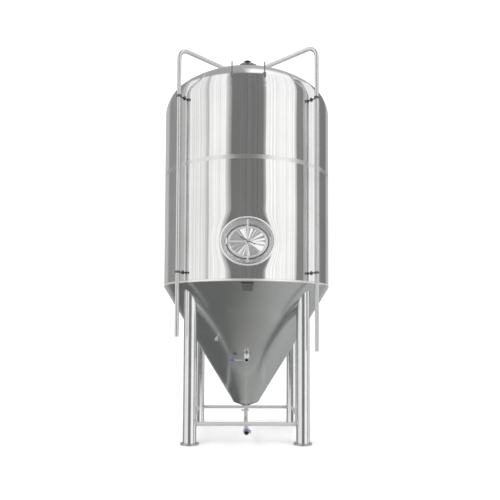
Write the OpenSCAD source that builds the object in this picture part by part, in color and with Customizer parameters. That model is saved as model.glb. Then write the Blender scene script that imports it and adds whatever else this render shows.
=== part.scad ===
// Jacketed conical fermenter on four legs.
// Frame: millimetres, +Z up, origin on the floor under the vessel's axis, manway towards -Y.

/* [Vessel] */
// Outside diameter of the insulated shell
shell_d = 1800; // [1700:10:1900]
// Height of the shell's straight side
shell_h = 1862; // [1800:2:2000]
// Height of the shell's bottom edge above the floor
shell_z = 1590; // [1560:5:1640]
// Crown radius of the dished top
crown_r = 1300; // [1280:5:1350]
// Knuckle radius of the dished top
knuckle_r = 300; // [280:5:310]
// Half angle of the cone
cone_angle = 31.6; // [31:0.1:32]
// Radius where the cone's cladding stops and its closing cap starts
cone_cut_r = 135; // [130:1:140]
// Distance from the cladding's outside to the inner vessel's outside
wall_gap = 80; // [75:1:85]
// Thickness of the cladding sheet
skin_t = 3; // [2:0.5:3]
// Thickness of the inner vessel's sheet
tank_t = 4; // [3:0.5:5]

/* [Cooling] */
// Depth of a cooling jacket
jacket_t = 10; // [8:1:14]
// Thickness of a cooling jacket's sheet
jacket_sheet = 2; // [1:0.5:2]
// Bottom height of the lower jacket
lower_jacket_z = 2260; // [2240:5:2280]
// Bottom height of the upper jacket
upper_jacket_z = 2850; // [2800:5:2870]
// Height of each jacket on the straight side
jacket_h = 520; // [400:5:530]
// Bottom height of the jacket on the cone
cone_jacket_z = 950; // [930:5:970]
// Height of the jacket on the cone
cone_jacket_h = 350; // [300:5:360]
// Outside radius of a coolant port
port_r = 13.45; // [12:0.05:15]
// Bore radius of a coolant port
port_bore_r = 10.6; // [9:0.1:11]

/* [Stand] */
// Distance from one leg's axis to the next
leg_pitch = 1120; // [1100:2:1130]
// Outside diameter of a leg
leg_d = 133; // [120:1:140]
// Wall thickness of a leg
leg_t = 4; // [3:0.5:6]
// Diameter of a foot plate
foot_d = 180; // [176:1:200]
// Thickness of a foot plate
foot_t = 15; // [10:1:20]
// Pitch circle diameter of a foot plate's anchor holes
anchor_pcd = 156; // [155:1:158]
// Diameter of an anchor hole
anchor_d = 14; // [10:1:14]
// Diameter of a cross brace
brace_d = 38; // [30:1:45]
// Height of a cross brace's axis
brace_z = 201; // [190:1:220]

/* [Manway] */
// Height of the manway's centre
manway_z = 1965; // [1955:1:1975]
// Width of the manway's opening
opening_w = 376; // [370:1:378]
// Height of the manway's opening
opening_h = 298; // [290:1:300]
// Width of the collar's mouth
mouth_w = 486; // [480:1:490]
// Height of the collar's mouth
mouth_h = 428; // [424:1:432]
// Distance of the collar's front plane from the vessel's axis
mouth_y = 918; // [914:1:920]
// Distance of the door seat from the vessel's axis
seat_y = 838; // [834:1:840]
// Angle of the manway's T handle below the horizontal
handle_tilt = 27; // [0:1:60]

/* [Pipes] */
// Outside radius of the two side pipes and of the outlet line
pipe_r = 20.5; // [18:0.5:21]
// Bore radius of the side pipes and of the outlet line
pipe_bore_r = 19; // [16:0.5:19]
// Distance of the side pipes from the vessel's axis
pipe_reach = 965; // [955:1:975]
// Bend radius at the top of the side pipes
bend_r = 120; // [100:5:130]
// Radius of the tight bend into the dome
dome_bend_r = 50; // [45:1:55]
// Height of the cleaning pipe's lower end
cip_end_z = 1061; // [1000:1:1200]
// Height of the gas pipe's lower end
gas_end_z = 923; // [900:1:1100]
// Height of the outlet line's run above the floor
run_z = 146; // [140:1:150]
// Bend radius of the outlet line
run_bend_r = 60; // [55:1:62]

/* [Valves] */
// Distance of the outlet valve's centre from the vessel's axis
outlet_valve_y = 665; // [650:1:680]
// Radius of a butterfly valve's body
valve_r = 30; // [29:0.5:31]
// Height of the racking port where it leaves the cone
racking_z = 881; // [875:1:890]
// Bore radius of the racking valve
racking_bore_r = 16; // [15:0.5:16]
// Distance from the cone to the racking valve's centre
racking_reach = 42; // [40:1:46]
// Length of a valve lever from its stem
lever_l = 164; // [140:1:180]
// Height of a valve lever above the pipe's axis
lever_s = 40; // [40:0.5:46]

/* [Top port] */
// Bore radius of the hop port
hop_bore_r = 75; // [70:1:78]
// Height of the hop port's flange face
hop_z = 4085; // [4060:1:4100]

/* [Hidden] */
$fn = 96;
// Facets of the large round shapes that trim small parts
fine_fn = 480;

// Gap left between parts that only lie against each other
gap = 0.3;
// Radial running clearance of a turning shaft
run_fit = 0.05;
// Gap at a butt weld between two lengths of pipe
weld_gap = 0.05;
shell_r = shell_d / 2;
top_z = shell_z + shell_h;
crown_z = top_z - sqrt(pow(crown_r - knuckle_r, 2) - pow(shell_r - knuckle_r, 2));
cone_tan = tan(cone_angle);
cone_sec = 1 / cos(cone_angle);
cone_cut_z = shell_z - (shell_r - cone_cut_r) / cone_tan;
cap_drop = 47;
tank_r = shell_r - wall_gap;
tank_cone_top_z = shell_z + (tank_r - cone_r(shell_z, wall_gap)) / cone_tan;
tank_cone_end_z = shell_z - (cone_r(shell_z, wall_gap + tank_t) - pipe_bore_r) / cone_tan;
leg_xy = leg_pitch / 2;
leg_r = leg_d / 2;
head_steps = 14;
// Clearance added to the mouth's width and height where the collar passes through the cladding
collar_clear = 14;
// Radius of the sleeves of insulation and cladding holes round the dome's pipes, beyond the pipes
nozzle_clear = 2.5;
// Heights between which holes through the dome are cut
dome_low_z = 3700;
dome_cut_h = 400;
// Depth of the solid under the dome that its holes and sheets are cut with
head_depth = 400;
// Oval cuts through the walls at the manway: start and length
way_y = 700;
way_l = 300;
// Inner end of the manway's neck, and of the collar's skirt
neck_y = 760;
skirt_y = 800;
// Cuts through the cone's walls: depth inside the cladding, and length
port_cut_in = 140;
port_cut_l = 180;

// Coolant ports: x, height, distance of the outer end from the vessel's axis
port_x = 120;
port_collar_r = 16.6;
port_collar_l = 22;
reach = 960;
PORTS = [
    [-port_x, upper_jacket_z + 40, reach],
    [port_x, upper_jacket_z + jacket_h - 40, reach],
    [-port_x, lower_jacket_z + 40, reach],
    [port_x, lower_jacket_z + jacket_h - 40, reach],
    [-port_x, cone_jacket_z + 50, 620],
    [port_x, cone_jacket_z + cone_jacket_h - 50, 760]
];

// Where the side pipes enter the dome, and how high their runs arrive there
cip_nozzle = [-190, -100];
gas_nozzle = [150, -160];
nozzle_z = 3980;
pipe_xy = pipe_reach / sqrt(2);
cip_rise = 4.9;
gas_rise = 1.2;
cip_drop_z = 3620;
gas_drop_z = 3835;
bracket_zs = [1693, 3436];

// Tri-clamp flanges
flange_r = 25.25;
flange_t = 2.85;
gasket_t = 2;
outlet_joint_z = 248.85;
valve_inlet = 25;
outlet_mouth = 51;
socket_l = 14;
racking_mouth = 55;
stem_r = 5;
neck_wall = 3;
lever_w = 14;
lever_t = 5;

// Turned-down lower end of a side pipe
spigot_r = pipe_r - 0.5;
spigot_l = 60;

// Hop port and the relief valve on its cap
hop_neck_z = 3855;
hop_flange_r = hop_bore_r + 8.5;
cap_boss_h = 14;
relief_z = hop_z + gasket_t + cap_boss_h;
relief_h = 20;

// Manway hinge
hinge_x = -204;
hinge_y = -872;
hinge_half = 18;
door_margin = 8;
stud_r = 8;
arm_t = 6;

sample_azimuth = -30.4;
sample_z = 1058;
thermowell_azimuth = 152;
thermowell_z = 2170;

function cone_r(z, inset) = shell_r + (z - shell_z) * cone_tan - inset * cone_sec;
function arc(cx, cz, r, a0, a1, n) =
    [for (i = [0:n]) let (a = a0 + (a1 - a0) * i / n) [cx + r * cos(a), cz + r * sin(a)]];
function head_curve(inset) = let (
        join = acos((shell_r - knuckle_r) / (crown_r - knuckle_r))
    ) concat(
        arc(shell_r - knuckle_r, top_z, knuckle_r - inset, 0, join, head_steps),
        arc(0, crown_z, crown_r - inset, join + (90 - join) / head_steps, 90, head_steps - 1)
    );
function reversed(list) = [for (i = [len(list) - 1:-1:0]) list[i]];
function oval(w, h) = [for (i = [0:59]) [w / 2 * cos(i * 6), h / 2 * sin(i * 6)]];

// ---------- shared shapes ----------

module tube(r_out, r_in, h) {
    difference() {
        cylinder(r = r_out, h = h);
        translate([0, 0, -1])
            cylinder(r = r_in, h = h + 2);
    }
}

// Solid of revolution under the dished top, moved inwards by inset
module head_solid(inset) {
    rotate_extrude($fn = fine_fn)
        polygon(concat([[0, top_z - head_depth], [shell_r - inset, top_z - head_depth]], head_curve(inset)));
}

// Dished sheet between two insets
module head_sheet(outer, inner) {
    rotate_extrude()
        polygon(concat(head_curve(outer), reversed(head_curve(inner))));
}

// Solid inside the vessel's side and cone, moved inwards by inset
module vessel_solid(inset) {
    low_z = shell_z - cone_r(shell_z, inset) / cone_tan;
    side_r = shell_r - inset;
    side_z = shell_z + (side_r - cone_r(shell_z, inset)) / cone_tan;
    rotate_extrude($fn = fine_fn)
        polygon([[0, low_z], [side_r, side_z], [side_r, top_z], [0, top_z]]);
}

// Bars along -Y with an oval outline, from y towards -Y
module oval_bar(w, h, y, length) {
    translate([0, -y, manway_z])
        rotate([90, 0, 0])
            linear_extrude(length)
                polygon(oval(w, h));
}

module leg_positions() {
    for (x = [-1, 1])
        for (y = [-1, 1])
            translate([x * leg_xy, y * leg_xy, 0])
                children();
}

module leg_holes() {
    leg_positions()
        translate([0, 0, foot_t])
            cylinder(r = leg_r + gap, h = tank_cone_top_z + 1 - foot_t);
}

module port_holes(r) {
    for (p = PORTS)
        translate([p[0], 0, p[1]])
            rotate([-90, 0, 0])
                cylinder(r = r, h = reach);
}

// Local +X leaves the cone at right angles, from a point at height z and an azimuth
module on_cone(z, azimuth) {
    rotate([0, 0, azimuth])
        translate([0, -cone_r(z, 0), z])
            rotate([cone_angle, 0, 0])
                rotate([0, 0, -90])
                    children();
}

module racking_frame() {
    on_cone(racking_z, 0)
        rotate([180, 0, 0])
            children();
}

module along_x(x) {
    translate([x, 0, 0])
        rotate([0, 90, 0])
            children();
}

module wall_holes(extra) {
    racking_frame()
        along_x(-port_cut_in)
            cylinder(r = racking_bore_r + neck_wall + extra, h = port_cut_l);
    on_cone(sample_z, sample_azimuth)
        along_x(-port_cut_in)
            cylinder(r = 8 + extra, h = port_cut_l);
}

module thermowell_hole(extra) {
    rotate([0, 0, thermowell_azimuth])
        translate([0, 0, thermowell_z])
            rotate([90, 0, 0])
                cylinder(r = 8 + extra, h = reach);
}

module dome_holes(extra) {
    translate([0, 0, dome_low_z])
        cylinder(r = hop_bore_r + 2 + extra, h = dome_cut_h);
    for (p = [cip_nozzle, gas_nozzle])
        translate([p[0], p[1], dome_low_z])
            cylinder(r = pipe_r + extra, h = dome_cut_h);
}

// ---------- cladding ----------

module cladding_shell() {
    color("gainsboro")
        difference() {
            translate([0, 0, shell_z])
                tube(shell_r, shell_r - skin_t, shell_h);
            oval_bar(mouth_w + collar_clear, mouth_h + collar_clear, way_y, way_l);
            port_holes(port_r + gap);
            thermowell_hole(gap);
        }
}

module cladding_top() {
    color("gainsboro")
        difference() {
            head_sheet(0, skin_t);
            dome_holes(nozzle_clear);
        }
}

module cladding_cone() {
    color("darkgray")
        difference() {
            rotate_extrude()
                polygon([
                    [cone_cut_r, cone_cut_z],
                    [shell_r, shell_z],
                    [shell_r - skin_t * cone_sec, shell_z],
                    [cone_cut_r - skin_t * cone_sec, cone_cut_z]
                ]);
            leg_holes();
            port_holes(port_r + gap);
            wall_holes(gap);
        }
}

module cladding_cone_cap() {
    hole_r = pipe_r + gap;
    color("darkgray")
        rotate_extrude()
            polygon([
                [cone_cut_r, cone_cut_z],
                [cone_cut_r - skin_t * cone_sec, cone_cut_z],
                [hole_r, cone_cut_z - cap_drop + skin_t],
                [hole_r, cone_cut_z - cap_drop]
            ]);
}

// ---------- inner vessel ----------

module inner_cylinder() {
    color("silver")
        difference() {
            translate([0, 0, tank_cone_top_z])
                tube(tank_r, tank_r - tank_t, top_z - tank_cone_top_z);
            oval_bar(opening_w + 2 * door_margin + 2 * gap, opening_h + 2 * door_margin + 2 * gap, way_y, way_l);
            thermowell_hole(gap);
        }
}

module inner_top_head() {
    color("silver")
        difference() {
            head_sheet(wall_gap, wall_gap + tank_t);
            dome_holes(gap);
        }
}

module inner_cone() {
    color("silver")
        difference() {
            rotate_extrude()
                polygon([
                    [pipe_bore_r, tank_cone_end_z],
                    [pipe_bore_r + tank_t * cone_sec, tank_cone_end_z],
                    [tank_r, tank_cone_top_z],
                    [tank_r - tank_t * cone_sec, tank_cone_top_z]
                ]);
            wall_holes(gap);
        }
}

// ---------- insulation ----------

module insulation_shell() {
    color("khaki")
        difference() {
            translate([0, 0, tank_cone_top_z + gap])
                tube(shell_r - skin_t - gap, tank_r + gap, top_z - tank_cone_top_z - 2 * gap);
            for (z = [lower_jacket_z, upper_jacket_z])
                translate([0, 0, z - gap])
                    cylinder(r = tank_r + jacket_t + gap, h = jacket_h + 2 * gap);
            oval_bar(mouth_w + collar_clear, mouth_h + collar_clear, way_y, way_l);
            port_holes(port_r + gap);
            thermowell_hole(gap);
        }
}

module insulation_top() {
    color("khaki")
        difference() {
            head_sheet(skin_t + gap, wall_gap - gap);
            dome_holes(nozzle_clear);
        }
}

module insulation_cone() {
    low_r = 27;
    color("khaki")
        difference() {
            rotate_extrude()
                polygon([
                    [shell_r - skin_t - gap, tank_cone_top_z],
                    [tank_r + gap, tank_cone_top_z],
                    [low_r, shell_z - (cone_r(shell_z, wall_gap - gap) - low_r) / cone_tan],
                    [low_r, cone_cut_z - cap_drop + skin_t + 4],
                    [cone_cut_r - (skin_t + gap) * cone_sec, cone_cut_z + 2],
                    [cone_r(shell_z, skin_t + gap), shell_z],
                    [shell_r - skin_t - gap, shell_z + gap]
                ]);
            intersection() {
                vessel_solid(wall_gap - jacket_t - gap);
                translate([0, 0, cone_jacket_z - gap])
                    cylinder(r = shell_r, h = cone_jacket_h + 2 * gap);
            }
            leg_holes();
            port_holes(port_r + gap);
            wall_holes(gap);
        }
}

// ---------- cooling jackets ----------

module side_jacket(z) {
    r_in = tank_r + gap;
    r_out = tank_r + jacket_t;
    color("lightsteelblue")
        difference() {
            rotate_extrude()
                polygon([
                    [r_in, z], [r_out, z], [r_out, z + jacket_h], [r_in, z + jacket_h],
                    [r_in, z + jacket_h - jacket_sheet],
                    [r_out - jacket_sheet, z + jacket_h - jacket_sheet],
                    [r_out - jacket_sheet, z + jacket_sheet], [r_in, z + jacket_sheet]
                ]);
            port_holes(port_bore_r);
        }
}

module upper_jacket() {
    side_jacket(upper_jacket_z);
}

module lower_jacket() {
    side_jacket(lower_jacket_z);
}

module cone_jacket() {
    z0 = cone_jacket_z;
    z1 = cone_jacket_z + cone_jacket_h;
    inner = wall_gap - gap;
    outer = wall_gap - jacket_t;
    color("lightsteelblue")
        difference() {
            rotate_extrude()
                polygon([
                    [cone_r(z0, inner), z0], [cone_r(z0, outer), z0],
                    [cone_r(z1, outer), z1], [cone_r(z1, inner), z1],
                    [cone_r(z1 - jacket_sheet, inner), z1 - jacket_sheet],
                    [cone_r(z1 - jacket_sheet, outer + jacket_sheet), z1 - jacket_sheet],
                    [cone_r(z0 + jacket_sheet, outer + jacket_sheet), z0 + jacket_sheet],
                    [cone_r(z0 + jacket_sheet, inner), z0 + jacket_sheet]
                ]);
            port_holes(port_bore_r);
            wall_holes(gap);
        }
}

module coolant_ports() {
    color("silver")
        difference() {
            for (p = PORTS)
                translate([p[0], 0, p[1]])
                    rotate([-90, 0, 0]) {
                        translate([0, 0, 400])
                            cylinder(r = port_r, h = p[2] - 400);
                        translate([0, 0, p[2] - port_collar_l])
                            cylinder(r = port_collar_r, h = port_collar_l);
                    }
            vessel_solid(wall_gap - jacket_t - gap);
            port_holes(port_bore_r);
        }
}

// ---------- stand ----------

module leg(sx, sy) {
    color("darkgray")
        difference() {
            translate([sx * leg_xy, sy * leg_xy, foot_t])
                tube(leg_r, leg_r - leg_t, tank_cone_top_z - 1 - foot_t);
            vessel_solid(wall_gap - gap);
        }
}

module foot_plates() {
    color("gray")
        leg_positions()
            difference() {
                cylinder(r = foot_d / 2, h = foot_t);
                for (a = [45:90:315])
                    rotate([0, 0, a])
                        translate([anchor_pcd / 2, 0, -1])
                            cylinder(r = anchor_d / 2, h = foot_t + 2);
            }
}

// A brace between two neighbouring legs; turn chooses the side of the stand
module brace(turn) {
    color("silver")
        rotate([0, 0, turn])
            difference() {
                translate([-leg_xy, -leg_xy, brace_z])
                    rotate([0, 90, 0])
                        tube(brace_d / 2, brace_d / 2 - 2, leg_pitch);
                for (x = [-leg_xy, leg_xy])
                    translate([x, -leg_xy, brace_z - 100])
                        cylinder(r = leg_r + gap, h = 200);
            }
}

// ---------- manway ----------

module manway_neck() {
    color("silver")
        difference() {
            oval_bar(opening_w + 2 * door_margin, opening_h + 2 * door_margin, neck_y, seat_y - neck_y);
            oval_bar(opening_w, opening_h, way_y, way_l);
            translate([0, 0, manway_z - way_l])
                cylinder(r = tank_r - tank_t, h = 2 * way_l, $fn = fine_fn);
        }
}

// Tapered oval bar from the door seat out to the collar's mouth
module funnel(grow) {
    depth = mouth_y - seat_y;
    small_w = opening_w + 2 * door_margin + 8;
    small_h = opening_h + 2 * door_margin + 8;
    translate([0, -mouth_y, manway_z])
        rotate([-90, 0, 0])
            linear_extrude(depth, slices = 1, segments = 0, scale = [
                (small_w + grow) / (mouth_w + grow),
                (small_h + grow) / (mouth_h + grow)
            ], $fn = 0)
                polygon(oval(mouth_w + grow, mouth_h + grow));
}

module manway_collar() {
    rim = 36;
    color("lightgray")
        difference() {
            union() {
                funnel(6);
                oval_bar(mouth_w + rim, mouth_h + rim, mouth_y - 16, 16);
                difference() {
                    oval_bar(mouth_w + rim, mouth_h + rim, skirt_y, mouth_y - skirt_y);
                    oval_bar(mouth_w + rim - 6, mouth_h + rim - 6, skirt_y - 1, way_l);
                    translate([0, 0, manway_z - way_l])
                        cylinder(r = shell_r + gap, h = 2 * way_l, $fn = fine_fn);
                }
            }
            funnel(0);
        }
}

module manway_gasket() {
    color("white")
        difference() {
            oval_bar(opening_w + 2 * door_margin, opening_h + 2 * door_margin, seat_y, 5);
            oval_bar(opening_w, opening_h, seat_y - 1, 7);
        }
}

module at_hinge(z) {
    translate([hinge_x, hinge_y, manway_z + z])
        children();
}

module manway_hinge_lugs() {
    lug_t = 8;
    funnel_slope = atan((mouth_w - opening_w - 2 * door_margin - 8) / 2 / (mouth_y - seat_y));
    color("silver")
        for (z = [-hinge_half - 0.5 - lug_t, hinge_half + 0.5])
            at_hinge(z)
                difference() {
                    union() {
                        cylinder(r = 9, h = lug_t);
                        translate([-30, -9, 0])
                            cube([30, 18, lug_t]);
                    }
                    translate([0, 0, -1])
                        cylinder(r = stem_r + gap / 3, h = lug_t + 2);
                    translate([-10.5, 0, -1])
                        rotate([0, 0, -funnel_slope])
                            translate([-40, -60, 0])
                                cube([40, 120, lug_t + 2]);
                }
}

module manway_hinge_pin() {
    color("dimgray")
        at_hinge(-hinge_half - 12) {
            cylinder(r = stem_r, h = 2 * hinge_half + 22);
            translate([0, 0, 2 * hinge_half + 22])
                cylinder(r = stem_r + 3, h = 4);
        }
}

module on_door(y) {
    translate([0, -y, manway_z])
        rotate([90, 0, 0])
            children();
}

module manway_door() {
    door_y = seat_y + 5 + gap;
    hub_end = -hinge_y - arm_t / 2 - gap;
    w = opening_w + 2 * door_margin;
    h = opening_h + 2 * door_margin;
    color("silver") {
        difference() {
            oval_bar(w, h, door_y, 10);
            oval_bar(w - 24, h - 24, door_y + 5, 8);
        }
        on_door(door_y + 4)
            cylinder(r = 24, h = hub_end - door_y - 4);
        on_door(door_y + 4)
            cylinder(r = stud_r, h = reach - door_y - 4);
    }
}

module manway_arm() {
    color("silver")
        difference() {
            union() {
                at_hinge(-hinge_half)
                    cylinder(r = 9, h = 2 * hinge_half);
                translate([hinge_x + 3, hinge_y - arm_t / 2, manway_z - 9])
                    cube([-hinge_x - 3, arm_t, 18]);
                on_door(-hinge_y - arm_t / 2)
                    cylinder(r = 18, h = arm_t);
            }
            at_hinge(-hinge_half - 1)
                cylinder(r = stem_r + run_fit, h = 2 * hinge_half + 2);
            on_door(-hinge_y - arm_t)
                cylinder(r = stud_r + gap, h = 2 * arm_t);
        }
}

module manway_yoke() {
    yoke_y = mouth_y - 9;
    yoke_t = 12;
    half = mouth_h / 2 - 10;
    sleeve_y = -hinge_y + arm_t / 2 + gap;
    color("silver")
        difference() {
            union() {
                translate([-8, -yoke_y - yoke_t, manway_z - half])
                    cube([16, yoke_t, 2 * half]);
                on_door(yoke_y)
                    cylinder(r = 20, h = yoke_t);
                on_door(sleeve_y)
                    cylinder(r = 14, h = yoke_y + 1 - sleeve_y);
            }
            on_door(sleeve_y - 1)
                cylinder(r = stud_r + gap, h = 60);
        }
}

module manway_washer() {
    color("silver")
        on_door(mouth_y + 3 + gap)
            tube(15, stud_r + gap, 3);
}

module manway_handle() {
    hub_y = mouth_y + 6 + 2 * gap;
    color("silver")
        difference() {
            union() {
                on_door(hub_y)
                    cylinder(r = 15, h = 28);
                on_door(hub_y + 16)
                    rotate([0, 0, -handle_tilt])
                        along_x(-80)
                            cylinder(r = 6, h = 160);
            }
            on_door(hub_y - 1)
                cylinder(r = stud_r + run_fit, h = 40);
        }
}

// ---------- side pipes ----------

// Ring that a pipe's bend sweeps
module pipe_ring() {
    difference() {
        circle(r = pipe_r);
        circle(r = pipe_bore_r);
    }
}

// Pipe in the local X-Z plane: up from z0 at x = 0, over a bend, inwards at the rise angle,
// down through a tight bend at x = span, and on to z1
module pipe_path(z0, z1, span, rise) {
    far_z = nozzle_z - dome_bend_r;
    far_x = span - dome_bend_r - dome_bend_r * sin(rise);
    far_top = far_z + dome_bend_r * cos(rise);
    near_x = bend_r - bend_r * sin(rise);
    near_top = far_top - (far_x - near_x) * tan(rise);
    near_z = near_top - bend_r * cos(rise);
    run = (far_x - near_x) / cos(rise);
    translate([0, 0, z0])
        difference() {
            union() {
                cylinder(r = spigot_r, h = spigot_l + 1);
                translate([0, 0, spigot_l])
                    cylinder(r = pipe_r, h = near_z - z0 - spigot_l);
            }
            translate([0, 0, -1])
                cylinder(r = pipe_bore_r, h = near_z - z0 + 2);
        }
    translate([bend_r, 0, near_z])
        rotate([90, 0, 0])
            rotate([0, 0, 180])
                rotate_extrude(angle = rise - 90)
                    translate([bend_r, 0])
                        pipe_ring();
    translate([near_x, 0, near_top])
        rotate([0, 90 - rise, 0])
            translate([0, 0, weld_gap])
                tube(pipe_r, pipe_bore_r, run - 2 * weld_gap);
    translate([span - dome_bend_r, 0, far_z])
        rotate([90, 0, 0])
            rotate_extrude(angle = 90 + rise)
                translate([dome_bend_r, 0])
                    pipe_ring();
    translate([span, 0, z1])
        tube(pipe_r, pipe_bore_r, far_z - z1);
}

module side_pipe(side, nozzle, end_z, drop_z, rise) {
    start = [side * pipe_xy, -pipe_xy];
    way = nozzle - start;
    color("silver")
        translate([start[0], start[1], 0])
            rotate([0, 0, atan2(way[1], way[0])])
                pipe_path(end_z, drop_z, norm(way), rise);
}

module cip_pipe() {
    side_pipe(-1, cip_nozzle, cip_end_z, cip_drop_z, cip_rise);
}

module gas_pipe() {
    side_pipe(1, gas_nozzle, gas_end_z, gas_drop_z, gas_rise);
}

module pipe_brackets() {
    rod_r = 6;
    ring_r = pipe_r + gap + 4;
    color("dimgray")
        for (side = [-1, 1])
            for (z = bracket_zs)
                rotate([0, 0, side * 45])
                    translate([0, 0, z])
                        difference() {
                            union() {
                                translate([0, -shell_r + 6, 0])
                                    rotate([90, 0, 0])
                                        cylinder(r = 20, h = 10);
                                translate([0, -shell_r, 0])
                                    rotate([90, 0, 0])
                                        cylinder(r = rod_r, h = pipe_reach - shell_r - pipe_r);
                                translate([0, -pipe_reach, -11])
                                    cylinder(r = ring_r, h = 22);
                                translate([-side * (ring_r + 5) - 8, -pipe_reach - 4, -9])
                                    cube([16, 8, 18]);
                            }
                            translate([0, 0, -50])
                                cylinder(r = shell_r + gap, h = 100, $fn = fine_fn);
                            translate([0, -pipe_reach, -12])
                                cylinder(r = pipe_r + gap, h = 24);
                        }
}

module dome_collars() {
    color("silver")
        difference() {
            for (p = [cip_nozzle, gas_nozzle])
                translate([p[0], p[1], 3910])
                    tube(34, pipe_r + nozzle_clear, 32);
            head_solid(-gap);
        }
}

module spray_ball() {
    ball_r = 32;
    color("silver")
        translate([cip_nozzle[0], cip_nozzle[1], cip_drop_z])
            difference() {
                union() {
                    translate([0, 0, -ball_r - 4])
                        sphere(r = ball_r);
                    translate([0, 0, -14])
                        cylinder(r = pipe_bore_r + 6, h = 40);
                }
                translate([0, 0, -1])
                    cylinder(r = pipe_r + run_fit, h = 30);
                translate([0, 0, -ball_r - 4])
                    sphere(r = ball_r - 3);
                translate([0, 0, -20])
                    cylinder(r = pipe_bore_r, h = 30);
                for (a = [0:45:135])
                    rotate([0, 0, a])
                        translate([-50, 0, -ball_r - 4])
                            rotate([0, 90, 0])
                                cylinder(r = 2.5, h = 100);
            }
}

// ---------- top port ----------

// Clamp ring around two flanges whose joint is at z = 0
module clamp_ring(r, ring_w, half) {
    rotate_extrude()
        polygon([
            [r - 1.5, half], [r + ring_w, half], [r + ring_w, -half], [r - 1.5, -half],
            [r - 1.5, -flange_t - 1.5], [r + gap, -flange_t - 1.5],
            [r + gap, flange_t + 1.5], [r - 1.5, flange_t + 1.5]
        ]);
}

// Bolt lugs and wing nut of a clamp, standing out along local +X
module clamp_bolt(r) {
    for (y = [-9, 4])
        translate([r, y, -6])
            cube([16, 5, 12]);
    translate([r + 9, 10, 0])
        rotate([90, 0, 0])
            cylinder(r = 3, h = 26);
    translate([r + 9, -16, 0])
        rotate([90, 0, 0])
            cylinder(r = 6.5, h = 8);
    translate([r - 1, -20, -1.5])
        cube([20, 5, 3]);
}

module hop_port_neck() {
    color("silver") {
        translate([0, 0, hop_neck_z])
            tube(hop_bore_r + 2, hop_bore_r, hop_z - hop_neck_z);
        translate([0, 0, hop_z - 3])
            tube(hop_flange_r, hop_bore_r + 1, 3);
    }
}

module hop_port_clamp() {
    color("lightgray")
        translate([0, 0, hop_z + 1])
            rotate([0, 0, -20]) {
                clamp_ring(hop_flange_r, 6.5, 9);
                clamp_bolt(hop_flange_r + 5.5);
            }
}

module hop_port_cap() {
    color("lightgray")
        translate([0, 0, hop_z + gasket_t])
            difference() {
                union() {
                    cylinder(r = hop_flange_r, h = 3);
                    cylinder(r = 22, h = cap_boss_h);
                }
                translate([0, 0, -1])
                    cylinder(r = 8, h = 20);
            }
}

module relief_valve_body() {
    color("silver")
        translate([0, 0, relief_z])
            difference() {
                cylinder(r = 24, h = relief_h);
                translate([0, 0, 3])
                    cylinder(r = 18, h = relief_h);
                translate([0, 0, -1])
                    cylinder(r = 8, h = 10);
            }
}

module relief_valve_poppet() {
    color("dimgray")
        translate([0, 0, relief_z + 3 + gap]) {
            cylinder(r = 12, h = 3);
            cylinder(r = 3, h = 9);
        }
}

// Coil spring as a round wire swept along a helix
module relief_valve_spring() {
    turns = 4;
    wire_r = 0.7;
    coil_r = 8;
    height = 11.2;
    ring_steps = 24;
    sides = 8;
    rings = turns * ring_steps;
    points = [
        for (i = [0:rings])
            for (j = [0:sides - 1])
                let (turn = 360 * i / ring_steps, a = 360 * j / sides)
                    [
                        (coil_r + wire_r * cos(a)) * cos(turn),
                        (coil_r + wire_r * cos(a)) * sin(turn),
                        height * i / rings + wire_r * sin(a)
                    ]
    ];
    side_faces = [
        for (i = [0:rings - 1])
            for (j = [0:sides - 1])
                let (k = (j + 1) % sides)
                    [i * sides + j, i * sides + k, (i + 1) * sides + k, (i + 1) * sides + j]
    ];
    ends = [
        [for (j = [sides - 1:-1:0]) j],
        [for (j = [0:sides - 1]) rings * sides + j]
    ];
    color("silver")
        translate([0, 0, relief_z + 6 + gap + wire_r + 0.2])
            polyhedron(points, concat(side_faces, ends), convexity = 8);
}

module relief_valve_cap() {
    color("black")
        translate([0, 0, relief_z + relief_h + gap])
            rotate_extrude()
                polygon(concat(
                    [[0, 0], [37, 0], [40, 3]],
                    arc(36, 16, 4, 0, 90, 5),
                    [[0, 20]]
                ));
}

// ---------- small fittings ----------

module ladder_posts() {
    post_x = 157;
    post_y = -856;
    low_z = 3540;
    color("silver")
        difference() {
            for (x = [-post_x, post_x])
                translate([x, post_y, 0]) {
                    translate([0, 0, low_z])
                        cylinder(r = 6, h = 165);
                    translate([0, 0, low_z])
                        cylinder(r = 15, h = 60);
                    translate([-2.5, 0, low_z])
                        cube([5, 30, 90]);
                }
            head_solid(-gap);
        }
}

module nameplate() {
    plate_z = 1536;
    color("dimgray")
        on_cone(plate_z, 0) {
            difference() {
                translate([0.5, -58, -40])
                    cube([15, 116, 80]);
                translate([-1, -54, -36])
                    cube([14, 108, 72]);
            }
            translate([15.8, -64, -44])
                cube([2, 128, 88]);
        }
}

module thermowell() {
    color("silver")
        rotate([0, 0, thermowell_azimuth])
            translate([0, 0, thermowell_z])
                rotate([90, 0, 0]) {
                    translate([0, 0, 640])
                        cylinder(r = 8, h = shell_r - 640);
                    translate([0, 0, shell_r])
                        cylinder(r = 14, h = 34);
                    translate([0, 0, shell_r + 34])
                        cylinder(r = 9, h = 14);
                }
}

module sample_valve() {
    color("silver")
        on_cone(sample_z, sample_azimuth)
            difference() {
                union() {
                    along_x(-88)
                        cylinder(r = 8, h = 96);
                    along_x(4)
                        cylinder(r = 13, h = 34);
                    translate([24, 0, -34])
                        cylinder(r = 6, h = 30);
                }
                along_x(-90)
                    cylinder(r = 4, h = 114);
                along_x(23)
                    cylinder(r = 3 + run_fit, h = 20);
                translate([18, 0, -36])
                    cylinder(r = 3, h = 36);
            }
}

module sample_valve_knob() {
    color("gray")
        on_cone(sample_z, sample_azimuth) {
            along_x(26)
                cylinder(r = 3, h = 14);
            along_x(39)
                cylinder(r = 14, h = 14);
        }
}

// ---------- outlet line ----------

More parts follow.
